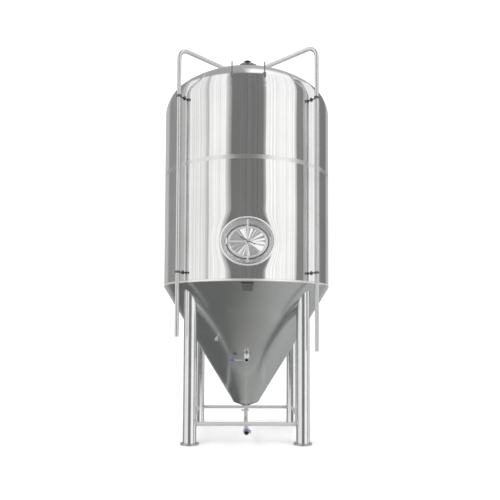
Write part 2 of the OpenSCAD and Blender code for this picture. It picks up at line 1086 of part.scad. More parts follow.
// Stub with a flange at z = 0, running up local +Z
module ferrule(r_out, r_in, length) {
    difference() {
        union() {
            cylinder(r = r_out, h = length);
            cylinder(r = flange_r, h = flange_t);
        }
        translate([0, 0, -1])
            cylinder(r = r_in, h = length + 2);
    }
}

module line_ferrules() {
    racking_end = racking_reach - valve_inlet - gasket_t;
    color("silver") {
        translate([0, 0, outlet_joint_z + gasket_t / 2])
            ferrule(pipe_r, pipe_bore_r, tank_cone_end_z - outlet_joint_z - gasket_t / 2);
        racking_frame()
            along_x(racking_end)
                rotate([180, 0, 0])
                    ferrule(racking_bore_r + neck_wall, racking_bore_r, racking_end + 90);
    }
}

// Drop from the vessel, bend and run towards the outlet valve
module outlet_elbow() {
    joint_z = outlet_joint_z - gasket_t / 2;
    bend_z = run_z + run_bend_r;
    run_end = outlet_valve_y - valve_inlet - gasket_t;
    color("silver") {
        translate([0, 0, joint_z])
            rotate([180, 0, 0])
                ferrule(pipe_r, pipe_bore_r, joint_z - bend_z - weld_gap);
        translate([0, -run_bend_r, bend_z])
            rotate([0, 0, 90])
                rotate([90, 0, 0])
                    rotate([0, 0, -90])
                        rotate_extrude(angle = 90)
                            translate([run_bend_r, 0])
                                pipe_ring();
        translate([0, -run_end, run_z])
            rotate([-90, 0, 0])
                ferrule(pipe_r, pipe_bore_r, run_end - run_bend_r - weld_gap);
    }
}

module outlet_frame() {
    translate([0, -outlet_valve_y, run_z])
        rotate([0, 0, -90])
            children();
}

module line_clamps() {
    color("lightgray") {
        translate([0, 0, outlet_joint_z]) {
            clamp_ring(flange_r, 7, 8);
            rotate([0, 0, 180])
                clamp_bolt(flange_r + 6);
        }
        outlet_frame()
            along_x(-valve_inlet - gasket_t / 2) {
                clamp_ring(flange_r, 7, 8);
                rotate([0, 0, 90])
                    clamp_bolt(flange_r + 6);
            }
        racking_frame()
            along_x(racking_reach - valve_inlet - gasket_t / 2) {
                clamp_ring(flange_r, 7, 8);
                rotate([0, 0, -90])
                    clamp_bolt(flange_r + 6);
            }
    }
}

module line_gaskets() {
    color("white") {
        translate([0, 0, outlet_joint_z - gasket_t / 2])
            tube(flange_r, pipe_bore_r, gasket_t);
        outlet_frame()
            along_x(-valve_inlet - gasket_t)
                tube(flange_r, pipe_bore_r, gasket_t);
        racking_frame()
            along_x(racking_reach - valve_inlet - gasket_t)
                tube(flange_r, racking_bore_r, gasket_t);
        translate([0, 0, hop_z])
            tube(hop_flange_r, hop_bore_r, gasket_t);
    }
}

// Butterfly valve body: flow along local +X, stem along local +Z
module valve_body(bore_r, mouth) {
    neck_r = bore_r + neck_wall;
    difference() {
        union() {
            along_x(-valve_inlet)
                cylinder(r = flange_r, h = flange_t);
            along_x(-valve_inlet)
                cylinder(r = neck_r, h = valve_inlet + mouth);
            along_x(-13)
                cylinder(r = valve_r, h = 26);
            translate([0, 0, valve_r - 8])
                cylinder(r = 10, h = 11);
        }
        along_x(-valve_inlet - 1)
            cylinder(r = bore_r, h = valve_inlet + mouth + 2);
        translate([0, 0, -bore_r - 6])
            cylinder(r = stem_r + run_fit, h = bore_r + valve_r + 20);
    }
}

// Turning parts of a butterfly valve, with the lever along local +X when the valve is open
module valve_rotor(bore_r) {
    rotate([90, 0, 0])
        translate([0, 0, -2])
            cylinder(r = bore_r - gap, h = 4);
    translate([0, 0, -bore_r - 5])
        cylinder(r = stem_r, h = bore_r + 5 + lever_s + 4);
    translate([0, 0, lever_s - 5])
        cylinder(r = 11, h = 9);
    translate([0, -lever_w / 2, lever_s - lever_t / 2])
        cube([lever_l - 8, lever_w, lever_t]);
}

module lever_grip() {
    grip_l = 40;
    start = lever_l - grip_l;
    difference() {
        translate([start, 0, lever_s])
            rotate([0, 90, 0])
                rotate_extrude()
                    polygon(concat(
                        [[0, 0], [9, 0], [10.5, 3], [11, 10]],
                        arc(5, grip_l - 6, 6, 0, 90, 5),
                        [[0, grip_l]]
                    ));
        translate([start - 1, -lever_w / 2 - gap, lever_s - lever_t / 2 - gap])
            cube([grip_l - 7 + gap + 1, lever_w + 2 * gap, lever_t + 2 * gap]);
    }
}

module outlet_valve_body() {
    color("silver")
        outlet_frame()
            difference() {
                union() {
                    valve_body(pipe_bore_r, outlet_mouth);
                    along_x(outlet_mouth - socket_l - 3)
                        tube(pipe_r + 4.5, pipe_bore_r, socket_l + 3);
                }
                along_x(outlet_mouth - socket_l)
                    cylinder(r = pipe_r + gap, h = socket_l + 1);
            }
}

module outlet_valve_rotor() {
    color("silver")
        outlet_frame()
            valve_rotor(pipe_bore_r);
}

module outlet_valve_grip() {
    color("slateblue")
        outlet_frame()
            lever_grip();
}

// ---------- racking port ----------

module racking_valve_body() {
    color("silver")
        racking_frame()
            translate([racking_reach, 0, 0])
                valve_body(racking_bore_r, racking_mouth);
}

module racking_valve_rotor() {
    color("silver")
        racking_frame()
            translate([racking_reach, 0, 0])
                rotate([0, 0, 90])
                    valve_rotor(racking_bore_r);
}

module racking_valve_grip() {
    color("slateblue")
        racking_frame()
            translate([racking_reach, 0, 0])
                rotate([0, 0, 90])
                    lever_grip();
}

// ---------- nodes ----------

cladding_shell();
cladding_top();
cladding_cone();
cladding_cone_cap();
inner_cylinder();
inner_top_head();
inner_cone();
insulation_shell();
insulation_top();
insulation_cone();
upper_jacket();
lower_jacket();
cone_jacket();
coolant_ports();
leg(-1, -1);  // leg_front_left
leg(1, -1);  // leg_front_right
leg(-1, 1);  // leg_rear_left
leg(1, 1);  // leg_rear_right
foot_plates();
brace(0);  // brace_front
brace(180);  // brace_rear
brace(-90);  // brace_left
brace(90);  // brace_right
manway_neck();
manway_collar();
manway_gasket();
manway_hinge_lugs();
manway_hinge_pin();
manway_door();
manway_arm();
manway_yoke();
manway_washer();
manway_handle();
cip_pipe();
gas_pipe();
pipe_brackets();
dome_collars();
spray_ball();
hop_port_neck();
hop_port_clamp();
hop_port_cap();
relief_valve_body();
relief_valve_poppet();
relief_valve_spring();
relief_valve_cap();
ladder_posts();
nameplate();
thermowell();
sample_valve();
sample_valve_knob();
line_ferrules();
outlet_elbow();
line_clamps();
line_gaskets();
outlet_valve_body();
outlet_valve_rotor();
outlet_valve_grip();
racking_valve_body();
racking_valve_rotor();
racking_valve_grip();
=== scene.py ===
"""Looks of the conical fermenter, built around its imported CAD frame. Metres, manway towards -Y."""

from math import acos, atan2, cos, degrees, hypot, pi, radians, sin, sqrt, tan

import bmesh
import bpy
from mathutils import Matrix, Vector


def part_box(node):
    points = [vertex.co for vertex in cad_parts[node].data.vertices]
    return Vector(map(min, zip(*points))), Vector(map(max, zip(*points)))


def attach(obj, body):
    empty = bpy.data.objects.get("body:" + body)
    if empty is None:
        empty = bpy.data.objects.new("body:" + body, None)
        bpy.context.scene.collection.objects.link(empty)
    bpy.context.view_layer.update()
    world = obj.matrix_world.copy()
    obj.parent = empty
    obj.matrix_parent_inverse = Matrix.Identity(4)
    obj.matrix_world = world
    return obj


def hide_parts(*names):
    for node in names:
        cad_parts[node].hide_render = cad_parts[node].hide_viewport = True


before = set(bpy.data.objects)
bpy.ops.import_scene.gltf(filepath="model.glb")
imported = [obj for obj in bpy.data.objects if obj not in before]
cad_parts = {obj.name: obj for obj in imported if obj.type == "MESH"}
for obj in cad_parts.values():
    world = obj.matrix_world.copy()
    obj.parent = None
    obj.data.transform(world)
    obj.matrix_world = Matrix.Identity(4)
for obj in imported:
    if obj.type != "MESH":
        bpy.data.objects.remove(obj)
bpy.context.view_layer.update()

# ---------- sizes: read from the frame, or named here where the frame has no box for them ----------


def low_high(node):
    low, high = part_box(node)
    return Vector(low), Vector(high)


def middle(node):
    low, high = low_high(node)
    return (low + high) / 2


# How far the skins lie inside the cladding they stand for, and their thickness
SKIN_INSET = 0.0012
SKIN_T = 0.0025
shell_low, shell_high = low_high("cladding_shell")
SHELL_R = (shell_high.x - shell_low.x) / 2
SHELL_Z = shell_low.z
SHELL_TOP = shell_high.z
cone_low = low_high("cladding_cone")[0]
CAP_LOW = low_high("cladding_cone_cap")[0].z
CONE_END_R = (low_high("cladding_cone_cap")[1].x - low_high("cladding_cone_cap")[0].x) / 2
CONE_ANGLE = atan2(SHELL_R - CONE_END_R, SHELL_Z - cone_low.z)
LEG_R = (low_high("leg_front_left")[1].x - low_high("leg_front_left")[0].x) / 2
LEG_XY = middle("leg_front_right").x
FOOT_T = low_high("foot_plates")[1].z
BRACE_R = (low_high("brace_front")[1].z - low_high("brace_front")[0].z) / 2
BRACE_Z = middle("brace_front").z
collar_low, collar_high = low_high("manway_collar")
MANWAY_Z = (collar_low.z + collar_high.z) / 2
RIM_A = (collar_high.x - collar_low.x) / 2
RIM_B = (collar_high.z - collar_low.z) / 2
MOUTH_Y = collar_low.y
SEAT_Y = collar_high.y
door_low, door_high = low_high("manway_door")
DOOR_A = (door_high.x - door_low.x) / 2
DOOR_B = (door_high.z - door_low.z) / 2
DOOR_BACK = door_high.y
STUD_END = door_low.y
RIM_W = 0.018
# Height of the rounded band along the shell's bottom edge
BAND_H = 0.022
# Oval where the cladding meets the manway's collar, and the depth of the dent round it
COLLAR_Y = MOUTH_Y + 0.018
COLLAR_A = RIM_A + 0.002
COLLAR_B = RIM_B + 0.002
# Depth in millimetres, reach in collar half widths and fading power of the dent round the collar
DENT_MM = 4.5
DENT_REACH = 0.42
DENT_POWER = 2.2
# Slope of the door's cone, and of the waves that run out from its hub
DOOR_SLOPE = 0.2
SPOKE_SLOPE = 0.5
SPOKE_SCALE = 1.6
# Radius of the cone cap's hole for the outlet pipe
OUTLET_CAP_R = 0.0212
# Radii of the dome's knuckle and crown
KNUCKLE = 0.3
CROWN = 1.3
# Heights of the name plate, the racking port and the outlet's run
PLATE_Z = 1.536
RACKING_Z = 0.881
RUN_Z = 0.146
# Radii of the painted shade inside the bores of the racking valve and the outlet valve
RACKING_BORE_R = 0.0166
OUTLET_BORE_R = 0.0188
# Brushed band along the shell's weld: share of the shell's height below it, and half its height
WELD_SHARE = 0.623
WELD_HALF_H = 0.021

# ---------- meshes ----------


def mesh_piece(name, points, faces, smooth=True):
    mesh = bpy.data.meshes.new(name)
    mesh.from_pydata(points, [], faces)
    mesh.validate()
    bm = bmesh.new()
    bm.from_mesh(mesh)
    bmesh.ops.remove_doubles(bm, verts=bm.verts, dist=1e-6)
    bmesh.ops.recalc_face_normals(bm, faces=bm.faces)
    bm.to_mesh(mesh)
    bm.free()
    piece = bpy.data.objects.new(name, mesh)
    bpy.context.scene.collection.objects.link(piece)
    for face in mesh.polygons:
        face.use_smooth = smooth
    return piece


def ring_faces(rings, steps, closed=False):
    faces = []
    for i in range(rings if closed else rings - 1):
        a = i * steps
        b = (i + 1) % rings * steps
        for j in range(steps):
            k = (j + 1) % steps
            faces.append((a + j, a + k, b + k, b + j))
    return faces


def lathe(name, profile, steps=96, closed=True, place=Matrix.Identity(4)):
    """Turns (radius, height) points about local Z. A closed profile makes a solid."""
    points = []
    for radius, height in profile:
        for j in range(steps):
            turn = 2 * pi * j / steps
            points.append(place @ Vector((radius * cos(turn), radius * sin(turn), height)))
    return mesh_piece(name, points, ring_faces(len(profile), steps, closed))


def oval_loft(name, rings, steps=120, closed=True):
    """Lofts ovals (half width, half height, y) about the manway's axis."""
    points = []
    for a, b, y in rings:
        for j in range(steps):
            turn = 2 * pi * j / steps
            points.append(Vector((a * cos(turn), y, MANWAY_Z + b * sin(turn))))
    return mesh_piece(name, points, ring_faces(len(rings), steps, closed))


def arc(centre_u, centre_v, radius, start, end, count):
    """Points of an arc in a profile, angles in degrees."""
    return [
        (centre_u + radius * cos(radians(start + (end - start) * i / count)),
         centre_v + radius * sin(radians(start + (end - start) * i / count)))
        for i in range(count + 1)
    ]


def bead_loop(name, path, radius, sides=8):
    """A closed weld bead of round section along a loop of points."""
    count = len(path)
    points = []
    for i, here in enumerate(path):
        along = (path[(i + 1) % count] - path[i - 1]).normalized()
        side = along.cross(Vector((0, 0, 1)))
        side = side.normalized() if side.length > 1e-6 else Vector((1, 0, 0))
        up = side.cross(along)
        swell = radius * (1 + 0.12 * sin(i * 2.4))
        for j in range(sides):
            turn = 2 * pi * j / sides
            points.append(here + swell * (cos(turn) * side + sin(turn) * up))
    return mesh_piece(name, points, ring_faces(count, sides, True))


def rounded_bar(name, size, place, bevel=0.0015, segments=3):
    bm = bmesh.new()
    bmesh.ops.create_cube(bm, size=1)
    bmesh.ops.scale(bm, vec=size, verts=bm.verts)
    bmesh.ops.bevel(bm, geom=bm.edges[:], offset=bevel, segments=segments, profile=0.5, affect="EDGES")
    bmesh.ops.transform(bm, matrix=place, verts=bm.verts)
    mesh = bpy.data.meshes.new(name)
    bm.to_mesh(mesh)
    bm.free()
    piece = bpy.data.objects.new(name, mesh)
    bpy.context.scene.collection.objects.link(piece)
    return piece


def thicken(piece, thickness):
    solid = piece.modifiers.new("thickness", "SOLIDIFY")
    solid.thickness = thickness
    solid.offset = -1
    crisp = piece.modifiers.new("crisp rims", "EDGE_SPLIT")
    crisp.split_angle = radians(50)
    return piece


def join(name, parts):
    bpy.ops.object.select_all(action="DESELECT")
    for part in parts:
        part.select_set(True)
    bpy.context.view_layer.objects.active = parts[0]
    bpy.ops.object.join()
    parts[0].select_set(False)
    parts[0].name = name
    return parts[0]


def dress(piece, body, material, stands_for=()):
    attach(piece, body)
    if stands_for:
        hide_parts(*stands_for)
    piece.data.materials.clear()
    piece.data.materials.append(material)
    return piece


# ---------- materials ----------


class Graph:
    """A short way to add and link nodes."""

    def __init__(self, tree):
        self.tree = tree
        tree.nodes.clear()

    def add(self, kind, **settings):
        node = self.tree.nodes.new(kind)
        for key, value in settings.items():
            setattr(node, key, value)
        return node

    def link(self, source, target):
        self.tree.links.new(source, target)

    def math(self, operation, first, second=None, clamp=False):
        node = self.add("ShaderNodeMath", operation=operation, use_clamp=clamp)
        for socket, value in zip(node.inputs, (first, second)):
            if isinstance(value, (int, float)):
                socket.default_value = value
            elif value is not None:
                self.link(value, socket)
        return node.outputs[0]

    def hypotenuse(self, first, second):
        squares = [self.math("MULTIPLY", side, side) for side in (first, second)]
        return self.math("SQRT", self.math("ADD", *squares))

    def mix(self, factor, first, second, blend="MIX"):
        node = self.add("ShaderNodeMix", data_type="RGBA", blend_type=blend)
        for socket, value in zip((node.inputs[0], node.inputs[6], node.inputs[7]), (factor, first, second)):
            if isinstance(value, (int, float, tuple)):
                socket.default_value = value
            else:
                self.link(value, socket)
        return node.outputs[2]

    def ramp(self, factor, stops, interpolation="LINEAR"):
        node = self.add("ShaderNodeValToRGB")
        ramp = node.color_ramp
        ramp.interpolation = interpolation
        while len(ramp.elements) < len(stops):
            ramp.elements.new(0.5)
        for element, (place, colour) in zip(ramp.elements, stops):
            element.position = place
            element.color = colour
        self.link(factor, node.inputs[0])
        return node.outputs[0]

    def noise(self, coordinates, stretch, scale, detail=3.0, roughness=0.5):
        mapping = self.add("ShaderNodeMapping")
        mapping.inputs["Scale"].default_value = stretch
        self.link(coordinates, mapping.inputs["Vector"])
        node = self.add("ShaderNodeTexNoise")
        node.inputs["Scale"].default_value = scale
        node.inputs["Detail"].default_value = detail
        node.inputs["Roughness"].default_value = roughness
        self.link(mapping.outputs[0], node.inputs["Vector"])
        return node.outputs["Fac"]


def linear(red, green, blue):
    """Display colour, 0 to 255, as scene-linear RGBA."""
    def one(value):
        value /= 255
        return value / 12.92 if value <= 0.04045 else ((value + 0.055) / 1.055) ** 2.4
    return (one(red), one(green), one(blue), 1.0)


def grey(level):
    return (level, level, level, 1.0)


def smooth_step(graph, value, low, high):
    node = graph.add("ShaderNodeMapRange", interpolation_type="SMOOTHSTEP")
    node.inputs["From Min"].default_value = low
    node.inputs["From Max"].default_value = high
    graph.link(value, node.inputs["Value"])
    return node.outputs[0]


def start_material(name, **shader_values):
    material = bpy.data.materials.new(name)
    material.use_nodes = True
    graph = Graph(material.node_tree)
    shader = graph.add("ShaderNodeBsdfPrincipled")
    for socket, value in shader_values.items():
        shader.inputs[socket].default_value = value
    output = graph.add("ShaderNodeOutputMaterial")
    graph.link(shader.outputs[0], output.inputs[0])
    place = graph.add("ShaderNodeTexCoord").outputs["Object"]
    return material, graph, shader, place


def add_bump(graph, shader, height, distance, strength=1.0):
    bump = graph.add("ShaderNodeBump")
    bump.inputs["Strength"].default_value = strength
    bump.inputs["Distance"].default_value = distance
    graph.link(height, bump.inputs["Height"])
    graph.link(bump.outputs[0], shader.inputs["Normal"])


def dent_relief(graph, place):
    """Sheet drawn in round the manway's collar, in millimetres."""
    parts = graph.add("ShaderNodeSeparateXYZ")
    graph.link(place, parts.inputs[0])
    across = graph.math("DIVIDE", parts.outputs[0], COLLAR_A)
    up = graph.math("DIVIDE", graph.math("SUBTRACT", parts.outputs[2], MANWAY_Z), COLLAR_B)
    ring = graph.hypotenuse(across, up)
    far = graph.math("DIVIDE", graph.math("SUBTRACT", ring, 1.0), DENT_REACH)
    near = graph.math("SUBTRACT", 1.0, far, True)
    front = graph.math("LESS_THAN", parts.outputs[1], 0.0)
    depth = graph.math("MULTIPLY", graph.math("POWER", near, DENT_POWER), front)
    return graph.math("MULTIPLY", depth, -DENT_MM)


def spun_relief(graph, place):
    """Door's plate: a shallow cone with waves that run out from the hub, in millimetres."""
    parts = graph.add("ShaderNodeSeparateXYZ")
    graph.link(place, parts.inputs[0])
    across = parts.outputs[0]
    up = graph.math("SUBTRACT", parts.outputs[2], MANWAY_Z)
    radius = graph.hypotenuse(across, up)
    spoke = graph.add("ShaderNodeCombineXYZ")
    graph.link(graph.math("DIVIDE", across, radius), spoke.inputs[0])
    graph.link(graph.math("DIVIDE", up, radius), spoke.inputs[2])
    waves = graph.noise(spoke.outputs[0], (1, 1, 1), SPOKE_SCALE, 1.0, 0.5)
    slope = graph.math("MULTIPLY_ADD", graph.math("SUBTRACT", waves, 0.5), -SPOKE_SLOPE)
    slope.node.inputs[2].default_value = -DOOR_SLOPE
    return graph.math("MULTIPLY", graph.math("MULTIPLY", radius, 1000.0), slope)


def bore_shade(centre, axis, radius):
    """Painted shade: dark inside a valve's bore."""
    def mask(graph, place):
        offset = graph.add("ShaderNodeVectorMath", operation="SUBTRACT")
        graph.link(place, offset.inputs[0])
        offset.inputs[1].default_value = centre
        turned = graph.add("ShaderNodeVectorMath", operation="CROSS_PRODUCT")
        graph.link(offset.outputs[0], turned.inputs[0])
        turned.inputs[1].default_value = axis
        length = graph.add("ShaderNodeVectorMath", operation="LENGTH")
        graph.link(turned.outputs[0], length.inputs[0])
        return graph.math("LESS_THAN", length.outputs["Value"], radius), grey(0.012)
    return mask


def depth_shade(centre, axis, edge, tone):
    """Painted shade: darker behind a plane."""
    def mask(graph, place):
        offset = graph.add("ShaderNodeVectorMath", operation="SUBTRACT")
        graph.link(place, offset.inputs[0])
        offset.inputs[1].default_value = centre
        along = graph.add("ShaderNodeVectorMath", operation="DOT_PRODUCT")
        graph.link(offset.outputs[0], along.inputs[0])
        along.inputs[1].default_value = axis
        return smooth_step(graph, along.outputs["Value"], edge, edge - 0.002), tone
    return mask


def steel(name, tint, rough, grain=(1, 1, 1), grain_scale=300.0, wave=0.0, wave_scale=2.0, band=None,
          scratch=0.006, metal=1.0, shade=None, dish=False):
    """Stainless steel. Grain stretches the marks, scratch is their depth, wave is the sheet's waviness."""
    material, graph, shader, place = start_material(name, Metallic=metal)
    marks = graph.noise(place, grain, grain_scale, 4.0, 0.6)
    cloud = graph.noise(place, (1, 1, 0.6), 3.5, 4.0, 0.6)
    dark = tuple(channel * 0.94 for channel in tint) + (1.0,)
    light = tuple(min(1.0, channel * 1.04) for channel in tint) + (1.0,)
    colour = graph.ramp(cloud, [(0.3, dark), (0.7, light)])
    low, high = rough
    spread = graph.math("MULTIPLY_ADD", marks, high - low)
    spread.node.inputs[2].default_value = low
    smear = graph.math("MULTIPLY", cloud, (high - low) * 0.5)
    roughness = graph.math("ADD", spread, smear)
    if band:
        height = graph.add("ShaderNodeSeparateXYZ")
        graph.link(place, height.inputs[0])
        off = graph.math("ABSOLUTE", graph.math("SUBTRACT", height.outputs[2], band[0]))
        inside = graph.math("LESS_THAN", off, band[1])
        roughness = graph.math("ADD", roughness, graph.math("MULTIPLY", inside, 0.24))
        brushed = tuple(channel * 0.97 for channel in tint) + (1.0,)
        colour = graph.mix(inside, colour, brushed)
    # Painted shade: where the mask falls, the colour turns to the mask's dark grey
    if shade:
        mask, dimmed = shade(graph, place)
        colour = graph.mix(mask, colour, dimmed)
    graph.link(colour, shader.inputs["Base Color"])
    graph.link(roughness, shader.inputs["Roughness"])
    relief = graph.math("MULTIPLY", marks, scratch)
    if dish:
        relief = graph.math("ADD", relief, spun_relief(graph, place))
    if wave:
        slow = graph.noise(place, (1, 1, 0.45), wave_scale, 1.0, 0.4)
        relief = graph.math("ADD", relief, graph.math("MULTIPLY", slow, wave))
    if band:
        relief = graph.math("ADD", relief, dent_relief(graph, place))
    add_bump(graph, shader, relief, 0.001)
    return material


def plastic(name, colour, rough, speckle=0.15):
    material, graph, shader, place = start_material(name)
    grain = graph.noise(place, (1, 1, 1), 900.0, 3.0, 0.6)
    cloud = graph.noise(place, (1, 1, 1), 40.0, 3.0, 0.5)
    dark = tuple(channel * (1 - speckle) for channel in colour) + (1.0,)
    light = tuple(min(1.0, channel * (1 + speckle)) for channel in colour) + (1.0,)
    graph.link(graph.ramp(cloud, [(0.3, dark), (0.7, light)]), shader.inputs["Base Color"])
    roughness = graph.ramp(grain, [(0.2, grey(rough * 0.85)), (0.8, grey(rough * 1.2))])
    graph.link(roughness, shader.inputs["Roughness"])
    add_bump(graph, shader, grain, 0.0002)
    return material


def foam(name):
    material, graph, shader, place = start_material(name)
    cells = graph.add("ShaderNodeTexVoronoi")
    cells.inputs["Scale"].default_value = 220.0
    graph.link(place, cells.inputs["Vector"])
    pale, deep = linear(236, 222, 160), linear(205, 182, 108)
    colour = graph.ramp(cells.outputs["Distance"], [(0.0, pale), (0.8, deep)])
    graph.link(colour, shader.inputs["Base Color"])
    shader.inputs["Roughness"].default_value = 0.95
    add_bump(graph, shader, cells.outputs["Distance"], 0.002)
    return material


def cone_front_point(z):
    return (0, -(SHELL_R - (SHELL_Z - z) * tan(CONE_ANGLE)), z)


WELD_BAND_Z = SHELL_Z + WELD_SHARE * (SHELL_TOP - SHELL_Z) + 0.0225
# Stretch of the polishing marks: drawn out along the height, or the same every way
VERTICAL = (1, 1, 0.03)
EVEN = (1, 1, 1)
MIRROR = steel("mirror_steel", (0.86, 0.86, 0.85), (0.015, 0.055), VERTICAL, 260.0, 0.9, 1.7,
               (WELD_BAND_Z, WELD_HALF_H))
DOME = steel("dome_steel", (0.86, 0.86, 0.86), (0.03, 0.08), EVEN, 260.0, 0.8, 2.4)
BAND = steel("edge_band_steel", (0.90, 0.90, 0.89), (0.34, 0.38), (1, 1, 0.03), 300.0, scratch=0.0,
             metal=0.75)
CONE = steel("cone_steel", (0.75, 0.78, 0.76), (0.18, 0.24), (1, 1, 0.08), 180.0, 0.6, 2.0,
             scratch=0.003)
LEG = steel("leg_steel", (0.86, 0.86, 0.87), (0.12, 0.2), (1, 1, 0.04), 320.0, scratch=0.002)
BRACE = steel("brace_steel", (0.74, 0.74, 0.75), (0.36, 0.4), (0.1, 0.1, 1), 320.0, scratch=0.0,
              metal=0.55)
PLATE = steel("foot_steel", (0.62, 0.62, 0.63), (0.32, 0.5), EVEN, 160.0)
PIPE = steel("pipe_steel", (0.82, 0.82, 0.83), (0.24, 0.34), (1, 1, 0.1), 320.0, scratch=0.002)
COLLAR = steel("collar_steel", (0.92, 0.92, 0.92), (0.12, 0.2), EVEN, 240.0, metal=0.65)
# Painted shade: the funnel's steel is tinted darker than the collar's for the shade inside the recess
FUNNEL = steel("funnel_steel", (0.66, 0.65, 0.66), (0.26, 0.29), EVEN, 240.0, scratch=0.0, metal=0.85)
DOOR = steel("door_steel", (0.88, 0.87, 0.88), (0.08, 0.16), (1, 0.2, 1), 260.0, scratch=0.003,
             dish=True, metal=0.8)
BRIGHT = steel("door_fitting_steel", (0.92, 0.92, 0.92), (0.12, 0.2), EVEN, 220.0, metal=0.65)
SAMPLE = steel("sample_valve_steel", (0.82, 0.82, 0.83), (0.1, 0.16), EVEN, 220.0, metal=0.85)
FITTING = steel("fitting_steel", (0.76, 0.76, 0.78), (0.1, 0.2), EVEN, 220.0, metal=0.85)
# Painted shade: the cross handle's steel is tinted far darker than the door's fittings
TEE = steel("tee_handle_steel", (0.42, 0.42, 0.43), (0.1, 0.2), EVEN, 220.0)
# Painted shade: the top ports, relief valve body and ladder posts are steel tinted far darker than the tank's
PORT = steel("top_port_steel", (0.30, 0.30, 0.31), (0.2, 0.35), EVEN, 220.0)
CONE_FRONT = Vector((0, -cos(CONE_ANGLE), -sin(CONE_ANGLE)))
# Painted shade inside the bores of the racking valve and the outlet valve
RACKING_BORE = bore_shade(cone_front_point(RACKING_Z), CONE_FRONT, RACKING_BORE_R)
RACKING = steel("racking_valve_steel", (0.86, 0.86, 0.88), (0.1, 0.2), EVEN, 220.0, metal=0.75,
                shade=RACKING_BORE)
OUTLET_BORE = bore_shade((0, 0, RUN_Z), (0, 1, 0), OUTLET_BORE_R)
OUTLET = steel("outlet_valve_steel", (0.80, 0.80, 0.82), (0.1, 0.2), EVEN, 220.0, metal=0.85,
               shade=OUTLET_BORE)
# Painted shade: the pipe brackets are steel tinted far darker than the pipes they hold
BRACKET = steel("bracket_steel", (0.22, 0.22, 0.23), (0.25, 0.4), EVEN, 220.0)
WELD = steel("weld_steel", (0.62, 0.62, 0.64), (0.28, 0.45), EVEN, 420.0, scratch=0.02)
TANK = steel("inner_tank_steel", (0.70, 0.70, 0.71), (0.3, 0.45), EVEN, 150.0)
# Painted shade on the name plate's bracket, seen in the gaps between the slats
PLATE_GAP_SHADE = depth_shade(cone_front_point(PLATE_Z), CONE_FRONT, 0.0145, grey(0.05))
NAMEPLATE = steel("nameplate_steel", (0.22, 0.235, 0.225), (0.3, 0.42), (0.05, 1, 1), 300.0,
                  metal=0.75, shade=PLATE_GAP_SHADE)
GRIP = plastic("grip_plastic", linear(80, 82, 165)[:3], 0.35)
BLACK = plastic("black_plastic", (0.012, 0.012, 0.013), 0.85)
SEAL = plastic("silicone", (0.78, 0.78, 0.75), 0.6, 0.05)
FOAM = foam("rigid_foam")

NODE_MATERIALS = {
    TANK: "inner_cylinder inner_top_head inner_cone upper_jacket lower_jacket cone_jacket manway_neck "
          "thermowell spray_ball",
    FOAM: "insulation_shell insulation_top insulation_cone",
    LEG: "leg_front_left leg_front_right leg_rear_left leg_rear_right",
    BRACE: "brace_front brace_rear brace_left brace_right",
    PLATE: "foot_plates",
    PIPE: "cip_pipe gas_pipe outlet_elbow line_ferrules dome_collars",
    BRIGHT: "manway_arm manway_washer manway_hinge_lugs manway_hinge_pin",
    SAMPLE: "sample_valve sample_valve_knob",
    FITTING: "coolant_ports hop_port_neck relief_valve_poppet relief_valve_spring line_clamps",
    PORT: "hop_port_clamp hop_port_cap relief_valve_body ladder_posts",
    OUTLET: "outlet_valve_body outlet_valve_rotor",
    RACKING: "racking_valve_body racking_valve_rotor",
    BRACKET: "pipe_brackets",
    SEAL: "manway_gasket line_gaskets",
}


def dress_nodes():
    for material, names in NODE_MATERIALS.items():
        for name in names.split():
            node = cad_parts[name]
            node.data.materials.clear()
            node.data.materials.append(material)


# ---------- skins of the vessel ----------

SHELL_COLUMNS = 192
WINDOW_COLUMNS = 28
WINDOW_ROWS = 24
WINDOW_HALF_H = 0.325
WINDOW_RINGS = 16


def on_shell(angle, z, radius):
    return Vector((radius * sin(angle), -radius * cos(angle), z))


